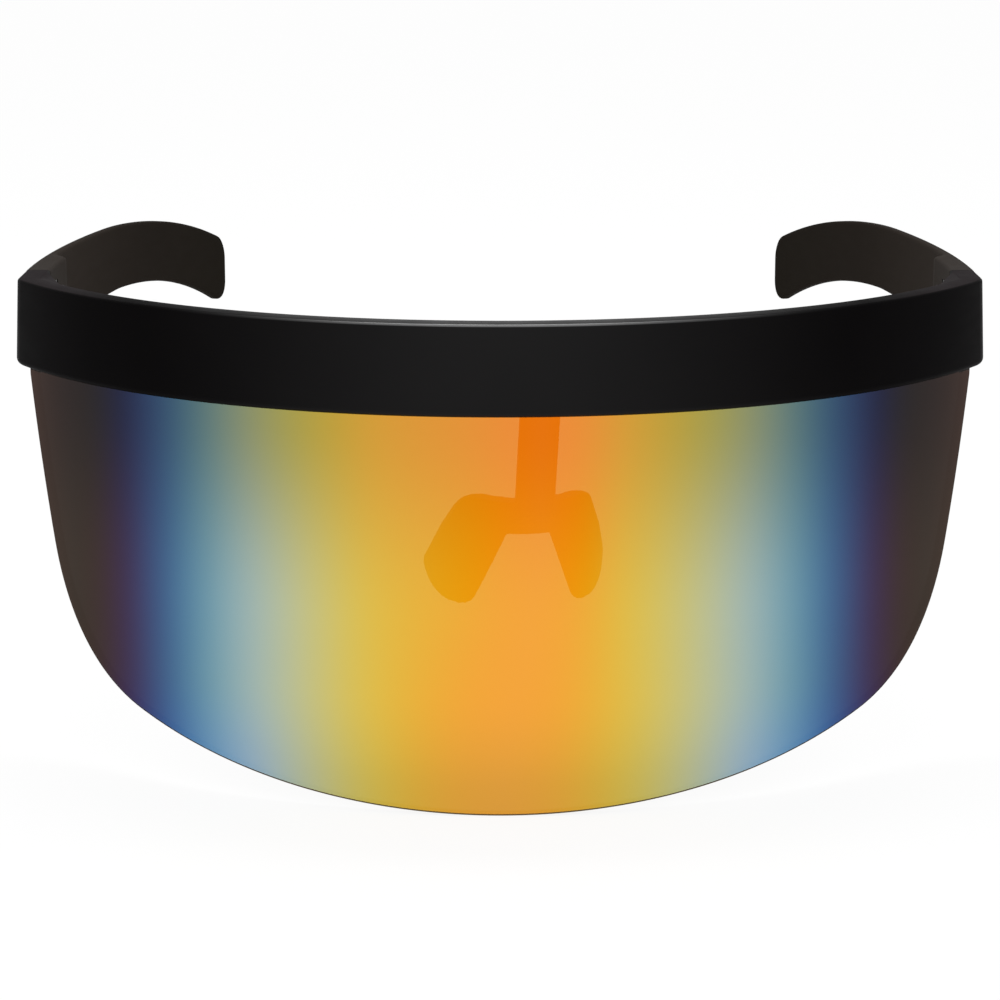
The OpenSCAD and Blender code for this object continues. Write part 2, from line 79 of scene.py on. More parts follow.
# Lens, with the groove that holds it. The groove's lip is only here.
LENS_T, LENS_STEP, LENS_SLACK = 1.8, 1.6, 0.1
LENS_OUT_R = BAR_MID_R + BAR_T / 2 - LENS_STEP
LENS_IN_R = LENS_OUT_R - LENS_T
LENS_H, LENS_LOW_R, LENS_CORNER_R, LENS_SIDE_R = 68.2, 197.0, 40.0, 450.0
LENS_LOW_TURN, LENS_SIDE_TURN = math.radians(20.2), math.radians(72.7)
LENS_LEAST_H = 1.0
LENS_EDGE_R = 0.35
GROOVE_H, GROOVE_LIP = 5.2, 0.12
TONGUE_H, TONGUE_SLOPE = 5.0, 1.2
TONGUE_TURN = HALF_TURN - math.radians(3)

# Nose piece, with the boss that holds its tab. The pads' outline is fuller than in the CAD.
NOSE_SHIFT, NOSE_TURN = 6.6, math.radians(9)
STEM_W, STEM_T, STEM_H, STEM_LEAN = 6.6, 1.8, 16.4, 5.0
TAB_H, TAB_GAP, TAB_SLACK = 8.0, 1.2, 0.1
BOSS_WALL, BOSS_BEVEL, BOSS_ROOT, BOSS_EDGE_R = 1.1, 1.5, 0.5, 0.5
SADDLE_W, SADDLE_H, SADDLE_R, SADDLE_T = 31.5, 21.5, 16.0, 2.2
SADDLE_LEAN, SADDLE_SHIFT = math.radians(16), -0.9
CROSSBAR_H, ARCH_W, SHOULDER_W = 6.0, 5.5, 23.0
PAD_DEPTH, PAD_BACK_SHARE, PAD_DEEP_SHARE = 13.5, 0.26, 0.83
PAD_R, PAD_WIDE_SHARE = 3.9, 0.815
PAD_END_R, PAD_END_X = 3.1, 12.4
PAD_FULL_R, PAD_FULL_X, PAD_FULL_SHARE = 4.0, 9.7, 0.44
PAD_KNEE_R, PAD_KNEE_Y, PAD_KNEE_SHARE = 3.3, 4.4, 0.25
STEM_OVERLAP, MOULD_CELL = 0.05, 0.22

# Temples
TEMPLE_LEN, TEMPLE_T, TEMPLE_STEP = 124.0, 2.0, 0.5
ROOT_LEN, TAPER_LEN = 17.0, 4.0
BEND_LEN, BEND_R = 67.0, 257.0
WAIST_H = 12.7
TOP_DROP_AT, TOP_DROP_R, LOW_DROP_AT, LOW_DROP_R = 57.0, 215.0, 62.0, 158.0
TIP_TOP_R, TIP_LOW_R, BAND_EDGE_R = 4.0, 6.0, 0.6
TEMPLE_OUT_X = FRONT_W / 2 - TEMPLE_STEP
TEMPLE_START_Y = BAR_END_Y + SEAM_GAP
ROOT_T = TEMPLE_OUT_X - END_IN_X
BEND_TURN = BEND_LEN / BEND_R

# Hinges: the room for them in bar and temples
HINGE_H, LEAF_T, LEAF_LEN, LEAF_SLACK = 9.6, 0.8, 8.0, 0.1
KNUCKLE_R, POCKET_GAP, PIVOT_IN = 1.7, 0.25, 0.8
PIVOT_X = END_IN_X - PIVOT_IN
HINGE_MID_Z = -BAR_H / 2

# Overrun of cutting shapes past the face they start from
CUT = 1.0
# Rows of faces from a sheet's lower edge to its upper one
LENS_ROWS, BAND_ROWS = 40, 16


# Meshes
def placed(name, data):
    """An object in the scene for a mesh, a lamp or a camera."""
    thing = bpy.data.objects.new(name, data)
    bpy.context.scene.collection.objects.link(thing)
    return thing


def new_piece(name, points, faces):
    """A mesh object from points in millimetres."""
    mesh = bpy.data.meshes.new(name)
    mesh.from_pydata([Vector(p) * MM for p in points], [], faces)
    mesh.update()
    return placed(name, mesh)


def hull(name, points):
    """Convex solid round the given points."""
    bm = bmesh.new()
    for p in points:
        bm.verts.new(Vector(p) * MM)
    made = bmesh.ops.convex_hull(bm, input=bm.verts)
    spare = {v for v in made["geom_interior"] + made["geom_unused"] if isinstance(v, bmesh.types.BMVert)}
    bmesh.ops.delete(bm, geom=list(spare), context="VERTS")
    bmesh.ops.recalc_face_normals(bm, faces=bm.faces)
    mesh = bpy.data.meshes.new(name)
    bm.to_mesh(mesh)
    bm.free()
    return placed(name, mesh)


def weld(piece):
    """Joins points that lie on each other and turns all faces outward."""
    bm = bmesh.new()
    bm.from_mesh(piece.data)
    bmesh.ops.remove_doubles(bm, verts=bm.verts, dist=0.002 * MM)
    bmesh.ops.dissolve_degenerate(bm, edges=bm.edges, dist=0.0005 * MM)
    bmesh.ops.recalc_face_normals(bm, faces=bm.faces)
    bm.to_mesh(piece.data)
    bm.free()


def shade(piece, limit=35):
    """Smooth shading, with the edges sharper than the limit kept sharp."""
    bm = bmesh.new()
    bm.from_mesh(piece.data)
    for face in bm.faces:
        face.smooth = True
    for edge in bm.edges:
        edge.smooth = edge.is_manifold and edge.calc_face_angle(0) < math.radians(limit)
    bm.to_mesh(piece.data)
    bm.free()


def mirrored(piece, name):
    """A copy of a piece on the other side of the middle."""
    mesh = piece.data.copy()
    mesh.name = name
    mesh.transform(Matrix.Scale(-1, 4, Vector((1, 0, 0))))
    mesh.flip_normals()
    return placed(name, mesh)


def baked(piece):
    """Turns the modifiers of a piece into its mesh."""
    graph = bpy.context.evaluated_depsgraph_get()
    mesh = bpy.data.meshes.new_from_object(piece.evaluated_get(graph))
    old = piece.data
    piece.modifiers.clear()
    piece.data = mesh
    bpy.data.meshes.remove(old)


def combine(piece, other, operation):
    """Boolean of a piece with a helper solid, which is then removed."""
    step = piece.modifiers.new(operation, "BOOLEAN")
    step.operation = operation
    step.solver = "EXACT"
    step.object = other
    baked(piece)
    bpy.data.objects.remove(other)


def circle(x, y, r, count=48):
    turns = [2 * math.pi * i / count for i in range(count)]
    return [(x + r * math.cos(turn), y + r * math.sin(turn)) for turn in turns]


def block(x, y, z):
    """Corners of a box, from three (low, high) pairs."""
    return [(a, b, c) for a in x for b in y for c in z]


def extruded(outline, low, high, axis):
    """Points of an outline drawn along an axis: x and z for axis y, y and z for axis x."""
    if axis == "y":
        return [(a, y, b) for a, b in outline for y in (low, high)]
    return [(x, a, b) for a, b in outline for x in (low, high)]


def lerp(a, b, share):
    return a + (b - a) * share


def ease(share):
    share = min(1.0, max(0.0, share))
    return share * share * (3 - 2 * share)


def on_arc(centre, r, turn):
    """Point of an arc, by its turn from straight ahead of the centre."""
    return (centre[0] + r * math.sin(turn), centre[1] - r * math.cos(turn))


# Brow bar
def bar_stations():
    """Centre line of the bar from the left end to the right: (x, y, heading of its outer face)."""
    right = []
    arc_steps, corner_steps, end_steps = 84, 14, 5
    for i in range(arc_steps + 1):
        turn = HALF_TURN * i / arc_steps
        right.append((*on_arc(BAR_CENTRE, BAR_MID_R, turn), turn))
    for i in range(1, corner_steps + 1):
        turn = lerp(HALF_TURN, math.pi / 2, i / corner_steps)
        right.append((*on_arc((CORNER_X, CORNER_Y), CORNER_R, turn), turn))
    for i in range(1, end_steps + 1):
        right.append((END_MID_X, lerp(CORNER_Y, BAR_END_Y, i / end_steps), math.pi / 2))
    left = [(-x, y, -turn) for x, y, turn in reversed(right[1:])]
    return left + right


def round_corner(x, z, r, start, steps=6):
    """Points of a quarter round in the bar's section, from a heading in degrees."""
    turns = [math.radians(start + 90 * i / steps) for i in range(steps + 1)]
    return [(x + r * math.cos(turn), z + r * math.sin(turn)) for turn in turns]


def bar_section(groove_h):
    """Section of the bar with its lens groove: outward from mid-wall, and height."""
    half, low = BAR_T / 2, -BAR_H
    groove_out = LENS_OUT_R + LENS_SLACK - BAR_MID_R
    groove_in = LENS_IN_R - LENS_SLACK - BAR_MID_R
    lip_z = low + min(GROOVE_LIP, groove_h)
    section = round_corner(half - BAR_LEAN_IN - BAR_TOP_EDGE_R, -BAR_TOP_EDGE_R, BAR_TOP_EDGE_R, 0)
    section += round_corner(BAR_EDGE_R - half, -BAR_EDGE_R, BAR_EDGE_R, 90)
    section += round_corner(BAR_EDGE_R - half, low + BAR_EDGE_R, BAR_EDGE_R, 180)
    section += [(groove_in - GROOVE_LIP, low), (groove_in, lip_z), (groove_in, low + groove_h)]
    section += [(groove_out, low + groove_h), (groove_out, lip_z), (groove_out + GROOVE_LIP, low)]
    section += round_corner(half - BAR_LOW_EDGE_R, low + BAR_LOW_EDGE_R, BAR_LOW_EDGE_R, 270)
    return section


def bar_rings():
    """Stations of the bar with the section at each: grooved in front, plain at the ends."""
    grooved, plain = bar_section(GROOVE_H), bar_section(0.0)
    rings = []
    inside = None
    for x, y, turn in bar_stations():
        now_inside = abs(turn) < TONGUE_TURN
        if inside is not None and now_inside != inside:
            # the groove's end wall: both sections at the same place
            end_turn = math.copysign(TONGUE_TURN, turn)
            at = (*on_arc(BAR_CENTRE, BAR_MID_R, end_turn), end_turn)
            rings += [(at, plain), (at, grooved)] if now_inside else [(at, grooved), (at, plain)]
        inside = now_inside
        rings.append(((x, y, turn), grooved if now_inside else plain))
    return rings


def bar_skin():
    """The bar's section swept along its centre line and closed at both ends."""
    rings = bar_rings()
    count = len(rings[0][1])
    points = [(x + out * math.sin(turn), y - out * math.cos(turn), z)
              for (x, y, turn), section in rings for out, z in section]
    faces = []
    for i in range(len(rings) - 1):
        for j in range(count):
            a, b = i * count + j, i * count + (j + 1) % count
            faces.append((a, b, b + count, a + count))
    last = (len(rings) - 1) * count
    faces.append(tuple(reversed(range(count))))
    faces.append(tuple(range(last, last + count)))
    return new_piece("brow_bar_shell", points, faces)


def make_bar():
    bar = bar_skin()
    weld(bar)
    for side in (-1, 1):
        combine(bar, corner_web(side), "UNION")
    combine(bar, nose_boss(), "UNION")
    combine(bar, tab_slot(), "DIFFERENCE")
    for side in (-1, 1):
        combine(bar, leaf_recess(side, -1), "DIFFERENCE")
        combine(bar, knuckle_pocket(side), "DIFFERENCE")
    shade(bar)
    return bar


def corner_web(side):
    """Web that fills the bar's inner corner, clear of the lens groove."""
    end_y = BAR_END_Y - WEB_GAP
    web_out_r = LENS_IN_R - WEB_LENS_GAP
    outline = [
        on_arc(BAR_CENTRE, BAR_IN_R + BAR_EDGE_R, WEB_TURN),
        on_arc(BAR_CENTRE, web_out_r, WEB_TURN),
        on_arc(BAR_CENTRE, web_out_r, TONGUE_TURN + WEB_PAST_TURN),
        (END_MID_X - WEB_CORNER_IN, CORNER_Y),
        (END_MID_X, end_y),
        (END_IN_X + BAR_EDGE_R, end_y),
    ]
    return hull("web", [(side * x, y, z) for x, y in outline for z in (WEB_STEP - BAR_H, -WEB_STEP)])


def nose_place():
    """Where the nose piece's stem leaves the bar."""
    tab_y = BAR_MID_R - math.sqrt(BAR_IN_R ** 2 - NOSE_SHIFT ** 2) + TAB_GAP
    return Matrix.Translation(Vector((NOSE_SHIFT, tab_y, -BAR_H)) * MM)


def nose_boss():
    """The boss behind the bar that holds the nose piece's tab."""
    front = -TAB_GAP - BOSS_ROOT
    back = STEM_T / 2 + TAB_SLACK + BOSS_WALL
    half = STEM_W / 2 + BOSS_WALL + TAB_SLACK
    height = TAB_H + TAB_SLACK + BOSS_WALL
    edge_x, edge_y = half - BOSS_EDGE_R, back - BOSS_EDGE_R
    points = []
    for side in (1, -1):
        for x, y in circle(side * edge_x, edge_y, BOSS_EDGE_R, 16):
            points += [(x, y, 0), (x, y, height - BOSS_EDGE_R)]
    points += [(side * edge_x, edge_y, height) for side in (-1, 1)]
    points += [(side * (half + BOSS_BEVEL), front, z) for side in (-1, 1) for z in (0, height)]
    boss = hull("boss", points)
    turn = math.asin(NOSE_SHIFT / BAR_IN_R)
    boss.data.transform(nose_place() @ Matrix.Rotation(turn, 4, "Z"))
    return boss


def tab_slot():
    half_w, half_t = STEM_W / 2 + TAB_SLACK, STEM_T / 2 + TAB_SLACK
    slot = hull("slot", block((-half_w, half_w), (-half_t, half_t), (-CUT, TAB_H + TAB_SLACK)))
    slot.data.transform(nose_place() @ Matrix.Rotation(NOSE_TURN, 4, "Z"))
    return slot


def leaf_recess(side, end):
    """Recess for a hinge leaf: side is -1 on the left, end is -1 on the bar and 1 on the temple."""
    reach = LEAF_LEN + LEAF_SLACK
    half_h = HINGE_H / 2 + LEAF_SLACK
    # on the bar it also clears the inner corner
    inward_by = CORNER_R if end < 0 else CUT
    x = sorted((side * (END_IN_X - inward_by), side * (END_IN_X + LEAF_T)))
    y = sorted((SEAM_Y, SEAM_Y + end * reach))
    return hull("recess", block(x, y, (HINGE_MID_Z - half_h, HINGE_MID_Z + half_h)))


def knuckle_pocket(side):
    half_h = HINGE_H / 2 + POCKET_GAP
    outline = circle(side * PIVOT_X, SEAM_Y, KNUCKLE_R + POCKET_GAP, 64)
    return hull("pocket", [(x, y, HINGE_MID_Z + up * half_h) for x, y in outline for up in (-1, 1)])


# Bent sheets: lens and temples
def rim_of(columns, rows):
    """Grid places round the edge, once round, from the first column's foot."""
    last = columns - 1
    return ([(i, 0) for i in range(columns)] + [(last, j) for j in range(1, rows)]
            + [(i, rows) for i in range(last, -1, -1)] + [(0, j) for j in range(rows - 1, 0, -1)])


def inward(rim_points):
    """Mitred inward direction at each point of a counter-clockwise rim."""
    count = len(rim_points)
    least_share = 0.35
    out = []
    for k in range(count):
        before, at, after = rim_points[k - 1], rim_points[k], rim_points[(k + 1) % count]
        a = (Vector(at) - Vector(before)).normalized()
        b = (Vector(after) - Vector(at)).normalized()
        na, nb = Vector((-a.y, a.x)), Vector((-b.y, b.x))
        out.append((na + nb) / max(least_share, 1 + na.dot(nb)))
    return out


def bent_sheet(name, materials, stations, rows, place, thick, edge_r, edge_steps=5):
    """A closed sheet with rounded edges.

    stations are (along, low, top); place(along, height, depth) gives the point, depth counted
    from the outer face; thick(along) is the wall. The materials are those of the outer face,
    the edge and the inner face.
    """
    columns = len(stations)
    flat = [[(along, lerp(low, top, j / rows)) for j in range(rows + 1)] for along, low, top in stations]
    rim = rim_of(columns, rows)
    push = dict(zip(rim, inward([flat[i][j] for i, j in rim])))
    points, faces, marks = [], [], []

    def shifted(i, j, inset):
        at, way = flat[i][j], push[(i, j)]
        return (at[0] + way.x * inset, at[1] + way.y * inset)

    def face_points(depth_of):
        start = len(points)
        for i in range(columns):
            foot, head = shifted(i, 0, edge_r), shifted(i, rows, edge_r)
            for j in range(rows + 1):
                along, height = lerp(foot[0], head[0], j / rows), lerp(foot[1], head[1], j / rows)
                points.append(place(along, height, depth_of(along)))
        return start

    def face_quads(start, flip, mark):
        for i in range(columns - 1):
            for j in range(rows):
                a = start + i * (rows + 1) + j
                quad = (a, a + rows + 1, a + rows + 2, a + 1)
                faces.append(tuple(reversed(quad)) if flip else quad)
                marks.append(mark)

    outer = face_points(lambda along: 0.0)
    inner = face_points(thick)
    face_quads(outer, False, 0)
    face_quads(inner, True, 2)

    loops = [[outer + i * (rows + 1) + j for i, j in rim]]
    turns = [math.pi / 2 * k / edge_steps for k in range(1, edge_steps + 1)]
    for back in (False, True):
        for turn in (reversed(turns) if back else turns):
            inset, depth = edge_r * (1 - math.sin(turn)), edge_r * (1 - math.cos(turn))
            loop = []
            for i, j in rim:
                along, height = shifted(i, j, inset)
                loop.append(len(points))
                points.append(place(along, height, thick(along) - depth if back else depth))
            loops.append(loop)
    loops.append([inner + i * (rows + 1) + j for i, j in rim])
    for one, two in zip(loops, loops[1:]):
        for k in range(len(rim)):
            n = (k + 1) % len(rim)
            faces.append((one[k], two[k], two[n], one[n]))
            marks.append(1)

    piece = new_piece(name, points, faces)
    for material in materials:
        piece.data.materials.append(material)
    for face, mark in zip(piece.data.polygons, marks):
        face.material_index = mark
    return piece


def lens_outline():
    """Half of the unrolled lower edge, from the middle to the upper corner: (along, height)."""
    low_steps, corner_steps, side_steps = 56, 40, 24
    low_centre = (0.0, LENS_LOW_R - LENS_H)
    corner_centre = on_arc(low_centre, LENS_LOW_R - LENS_CORNER_R, LENS_LOW_TURN)
    side_centre = on_arc(corner_centre, LENS_CORNER_R - LENS_SIDE_R, LENS_SIDE_TURN)
    end_turn = math.acos(side_centre[1] / LENS_SIDE_R)
    half = [on_arc(low_centre, LENS_LOW_R, LENS_LOW_TURN * i / low_steps) for i in range(low_steps)]
    for i in range(corner_steps):
        turn = lerp(LENS_LOW_TURN, LENS_SIDE_TURN, i / corner_steps)
        half.append(on_arc(corner_centre, LENS_CORNER_R, turn))
    for i in range(side_steps + 1):
        turn = lerp(LENS_SIDE_TURN, end_turn, i / side_steps)
        half.append(on_arc(side_centre, LENS_SIDE_R, turn))
    return half


def make_lens(materials):
    half = lens_outline()
    half_arc = half[-1][0]
    tongue_end = half_arc * TONGUE_TURN / HALF_TURN

    def top(along):
        past = (abs(along) - (tongue_end - TONGUE_SLOPE)) / TONGUE_SLOPE
        return lerp(TONGUE_H, -LENS_SLACK, min(1.0, max(0.0, past)))

    def place(along, height, depth):
        x, y = on_arc(BAR_CENTRE, LENS_OUT_R - depth, HALF_TURN * along / half_arc)
        return (x, y, height - BAR_H)

    right = [(x, z, top(x)) for x, z in half if z < -LENS_LEAST_H]
    stations = [(-x, low, high) for x, low, high in reversed(right[1:])] + right
    lens = bent_sheet("shield_lens_sheet", materials, stations, LENS_ROWS,
                      place, lambda along: LENS_T, LENS_EDGE_R)
    shade(lens, 50)
    return lens


def arc_drop(past, r):
    """How far an arc has dropped from its level start."""
    return 0.0 if past <= 0 else r - math.sqrt(max(0.0, r * r - past * past))


def band_top(along):
    tip = arc_drop(along - (TEMPLE_LEN - TIP_TOP_R), TIP_TOP_R)
    return -arc_drop(along - TOP_DROP_AT, TOP_DROP_R) - tip


def band_low(along):
    narrowing = (BAR_H - WAIST_H) * min(1.0, along / LOW_DROP_AT)
    tip = arc_drop(along - (TEMPLE_LEN - TIP_LOW_R), TIP_LOW_R)
    return narrowing - BAR_H - arc_drop(along - LOW_DROP_AT, LOW_DROP_R) + tip


def band_t(along):
    return lerp(ROOT_T, TEMPLE_T, ease((along - ROOT_LEN) / TAPER_LEN))


def temple_place(along, height, depth):
    turn = BEND_TURN * min(1.0, along / BEND_LEN)
    rest = max(0.0, along - BEND_LEN)
    x = TEMPLE_OUT_X - BEND_R * (1 - math.cos(turn)) - rest * math.sin(turn)
    y = TEMPLE_START_Y + BEND_R * math.sin(turn) + rest * math.cos(turn)
    return (x - depth * math.cos(turn), y - depth * math.sin(turn), height)


def make_temple(materials):
    """The right temple, its stations closer together towards the tip."""
    band_steps, tip_steps = 90, 16
    tip_start = TEMPLE_LEN - TIP_LOW_R
    places = [tip_start * i / band_steps for i in range(band_steps + 1)]
    places += [tip_start + TIP_LOW_R * math.sin(math.pi / 2 * i / tip_steps)
               for i in range(1, tip_steps + 1)]
    stations = [(along, band_low(along), band_top(along)) for along in places]
    temple = bent_sheet("right_temple_band", materials, stations, BAND_ROWS,
                        temple_place, band_t, BAND_EDGE_R)
    combine(temple, leaf_recess(1, 1), "DIFFERENCE")
    combine(temple, knuckle_pocket(1), "DIFFERENCE")
    shade(temple)
    return temple


# Nose piece
def saddle_front():
    """Crossbar and pads seen from the front, drawn through their whole depth."""
    bar_round = CROSSBAR_H / 2
    bar_x, arch_x = SHOULDER_W / 2 - bar_round, ARCH_W / 2 + bar_round
    reach = (-CUT, PAD_DEPTH + CUT)
    crossbar = circle(-bar_x, -bar_round, bar_round) + circle(bar_x, -bar_round, bar_round)
    saddle = hull("nose_piece_saddle", extruded(crossbar, *reach, "y"))
    for side in (-1, 1):
        outline = (circle(side * arch_x, -bar_round, bar_round)
                   + circle(side * bar_x, -bar_round, bar_round)
                   + circle(side * PAD_FULL_X, -PAD_FULL_SHARE * SADDLE_H, PAD_FULL_R)
                   + circle(side * (SADDLE_W / 2 - PAD_R), -PAD_WIDE_SHARE * SADDLE_H, PAD_R)
                   + circle(side * PAD_END_X, PAD_END_R - SADDLE_H, PAD_END_R))
        combine(saddle, hull("pad", extruded(outline, *reach, "y")), "UNION")
    return saddle


def saddle_side():
    """Crossbar and pads seen from the side, drawn through their whole width."""
    bar_round = CROSSBAR_H / 2
    back_r = PAD_BACK_SHARE * PAD_DEPTH
    outline = (circle(bar_round - CUT, CUT - bar_round, bar_round)
               + circle(PAD_KNEE_Y, -PAD_KNEE_SHARE * SADDLE_H, PAD_KNEE_R)
               + circle(PAD_DEPTH - back_r, -PAD_DEEP_SHARE * SADDLE_H, back_r)
               + circle(PAD_DEPTH - back_r - PAD_END_R, PAD_END_R - SADDLE_H, PAD_END_R)
               + circle(PAD_END_R - CUT, PAD_END_R - SADDLE_H, PAD_END_R))
    return hull("side", extruded(outline, -SADDLE_W, SADDLE_W, "x"))


def saddle_tube():
    """Half tube that the saddle is bent to, open to the back."""
    steps, low, high = 96, -SADDLE_H - CUT, CUT
    points, faces = [], []
    for i in range(steps + 1):
        turn = math.pi * i / steps - math.pi / 2
        for r in (SADDLE_R, SADDLE_R - SADDLE_T):
            x, y = on_arc((0, SADDLE_R), r, turn)
            points += [(x, y, low), (x, y, high)]
    for i in range(steps):
        a = 4 * i
        b = a + 4
        faces += [(a, b, b + 1, a + 1), (a + 2, a + 3, b + 3, b + 2),
                  (a + 1, b + 1, b + 3, a + 3), (a, a + 2, b + 2, b)]
    end = 4 * steps
    faces += [(0, 1, 3, 2), (end, end + 2, end + 3, end + 1)]
    tube = new_piece("tube", points, faces)
    weld(tube)
    return tube


def stem_lengths():
    """The tab, the leaning stem and its foot in the crossbar, each with a little overlap."""
    places = [(0, TAB_H), (0, 0), (STEM_LEAN, -STEM_H), (STEM_LEAN, -STEM_H - CROSSBAR_H / 2)]
    for one, two in zip(places, places[1:]):
        outline = [(y + half, z + over) for y, z in (one, two)
                   for half in (-STEM_T / 2, STEM_T / 2) for over in (-STEM_OVERLAP, STEM_OVERLAP)]
        yield hull("stem", extruded(outline, -STEM_W / 2, STEM_W / 2, "x"))


def mould(piece):
    """Remeshed finely and smoothed, so that edges and inner corners round off as in one moulding."""
    remesh = piece.modifiers.new("moulding", "REMESH")
    remesh.mode = "VOXEL"
    remesh.voxel_size = MOULD_CELL * MM
    soften = piece.modifiers.new("soften", "SMOOTH")
    soften.factor = 0.5
    soften.iterations = 6
    baked(piece)


def make_nose_piece():
    saddle = saddle_front()
    combine(saddle, saddle_side(), "INTERSECT")
    combine(saddle, saddle_tube(), "INTERSECT")
    foot = Vector((SADDLE_SHIFT, STEM_LEAN - STEM_T / 2, -STEM_H)) * MM
    saddle.data.transform(Matrix.Translation(foot) @ Matrix.Rotation(SADDLE_LEAN, 4, "X"))
    for length in stem_lengths():
        combine(saddle, length, "UNION")
    mould(saddle)
    saddle.data.transform(nose_place() @ Matrix.Rotation(NOSE_TURN, 4, "Z"))
    shade(saddle, 180)
    return saddle


# Material helpers
def new_material(name):
    material = bpy.data.materials.new(name)
    material.use_nodes = True
    tree = material.node_tree
    tree.nodes.clear()
    return material, tree


def add(tree, kind, inputs=None, **settings):
    """A node with its settings; inputs gives each socket a number, a colour or another node's output."""
    node = tree.nodes.new(kind)
    for key, value in settings.items():
        setattr(node, key, value)
    for key, value in (inputs or {}).items():
        socket = node.inputs[key]
        if isinstance(value, bpy.types.NodeSocket):
            tree.links.new(value, socket)
        else:
            socket.default_value = (*value, 1) if socket.type == "RGBA" else value
    return node


def math_node(tree, operation, *values):
    return add(tree, "ShaderNodeMath", dict(enumerate(values)), operation=operation).outputs[0]


def mixed_number(tree, share, one, two):
    inputs = {"Factor": share, "A": one, "B": two}
    return add(tree, "ShaderNodeMix", inputs, data_type="FLOAT").outputs["Result"]


def mixed_colour(tree, share, one, two, blend="MIX"):
    inputs = {"Factor": share, "A": one, "B": two}
    return add(tree, "ShaderNodeMix", inputs, data_type="RGBA", blend_type=blend).outputs["Result"]


def mixed_shader(tree, share, one, two):
    return add(tree, "ShaderNodeMixShader", {"Fac": share, 1: one, 2: two}).outputs[0]


def map_range(tree, value, low, high, to_low, to_high):
    """Smooth step from to_low to to_high while the value goes from low to high."""
    inputs = {"Value": value, "From Min": low, "From Max": high, "To Min": to_low, "To Max": to_high}
    return add(tree, "ShaderNodeMapRange", inputs, interpolation_type="SMOOTHSTEP").outputs["Result"]


def object_place(tree):
    """Place in the part's own frame, so that what is drawn by it stays on the piece when it moves."""
    return add(tree, "ShaderNodeTexCoord").outputs["Object"]


def object_axes(tree):
    """That place in metres: x, y and z."""
    return add(tree, "ShaderNodeSeparateXYZ", {0: object_place(tree)}).outputs


def noise(tree, scale, detail, stretch=(1, 1, 1)):
    mapping = add(tree, "ShaderNodeMapping", {"Vector": object_place(tree), "Scale": stretch})
    inputs = {"Vector": mapping.outputs["Vector"], "Scale": scale, "Detail": detail}
    return add(tree, "ShaderNodeTexNoise", inputs).outputs["Fac"]


def ramp(tree, value, stops, mode="LINEAR"):
    node = add(tree, "ShaderNodeValToRGB", {"Fac": value})
    node.color_ramp.interpolation = mode
    elements = node.color_ramp.elements
    while len(elements) < len(stops):
        elements.new(0.5)
    for element, (at, colour) in zip(elements, stops):
        element.position = at
        element.color = (*colour, 1)
    return node.outputs["Color"]


def even_ramp(tree, value, colours):
    """Smooth blend through evenly spaced colours."""
    stops = [(i / (len(colours) - 1), colour) for i, colour in enumerate(colours)]
    return ramp(tree, value, stops, "B_SPLINE")


def bump_from(tree, height, strength):
    depth_mm = 0.02
    inputs = {"Height": height, "Strength": strength, "Distance": depth_mm * MM}
    return add(tree, "ShaderNodeBump", inputs).outputs["Normal"]


def finish_material(tree, shader):
    add(tree, "ShaderNodeOutputMaterial", {"Surface": shader})


# Plastics and metals. Colours are linear red, green and blue, and noise scales are per metre.
BAR_BLACK = (0.0026, 0.0023, 0.0025), (0.0036, 0.0031, 0.0033)
# Painted light on the bar's top face towards its ends
BAR_TOP_LIGHT = (0.016, 0.0125, 0.0135)
TEMPLE_BLACK = (0.0030, 0.0026, 0.0026), (0.0042, 0.0036, 0.0035)
# Inside of the temples: brown with painted light, paler near the hinge and painted shade towards the tip
TEMPLE_BROWN_FALLOFF = [
    (0.0, (0.042, 0.036, 0.032)),
    (0.25, (0.032, 0.0255, 0.021)),
    (0.6, (0.0195, 0.0155, 0.0125)),
    (1.0, (0.013, 0.0105, 0.0075)),
]
NOSE_BLACK = (0.006, 0.0055, 0.0055), (0.009, 0.0085, 0.0085)
HINGE_GREY, SCREW_GREY = (0.075, 0.072, 0.072), (0.30, 0.29, 0.285)
CLOUD_SHADE, TARNISH = (0.85, 0.85, 0.85), 0.72
ROUGH_SPREAD = 0.025


def moulded_plastic(name, colour, rough, gloss, grain_mm, grain_strength):
    """Moulded plastic: handling marks in its roughness and a fine mould grain.

    colour is a function that builds the node chain for the base colour; gloss is the specular
    level, or such a function where it changes over the piece.
    """
    material, tree = new_material(name)
    marks = noise(tree, scale=160, detail=5, stretch=(1, 1, 4))
    grain = noise(tree, scale=1000 / grain_mm, detail=2)
    body = add(tree, "ShaderNodeBsdfPrincipled", {
        "Base Color": colour(tree),
        "Specular IOR Level": gloss(tree) if callable(gloss) else gloss,
        "Roughness": map_range(tree, marks, 0.3, 0.7, rough - ROUGH_SPREAD, rough + ROUGH_SPREAD),
        "Normal": bump_from(tree, grain, grain_strength),
    })
    finish_material(tree, body.outputs[0])
    return material


def clouded(dark, light):
    """Base colour with faint clouds."""
    return lambda tree: ramp(tree, noise(tree, scale=38, detail=4), [(0.3, dark), (0.7, light)])


def painted_falloff(stops):
    """Base colour with painted light that falls off along the temple, from the hinge to the tip, with
    faint clouds; stops are (share of length, colour).
    """
    def build(tree):
        along = math_node(tree, "SUBTRACT", object_axes(tree)["Y"], TEMPLE_START_Y * MM)
        share = math_node(tree, "DIVIDE", along, TEMPLE_LEN * MM)
        clouds = noise(tree, scale=60, detail=4)
        return mixed_colour(tree, clouds, ramp(tree, share, stops), CLOUD_SHADE, "MULTIPLY")
    return build


def upward(tree):
    """How far a face looks up in the part's own frame, from -1 to 1."""
    normal = add(tree, "ShaderNodeTexCoord").outputs["Normal"]
    return add(tree, "ShaderNodeSeparateXYZ", {0: normal}).outputs["Z"]


def sideways(tree):
    """Distance from the middle plane, in metres."""
    return math_node(tree, "ABSOLUTE", object_axes(tree)["X"])


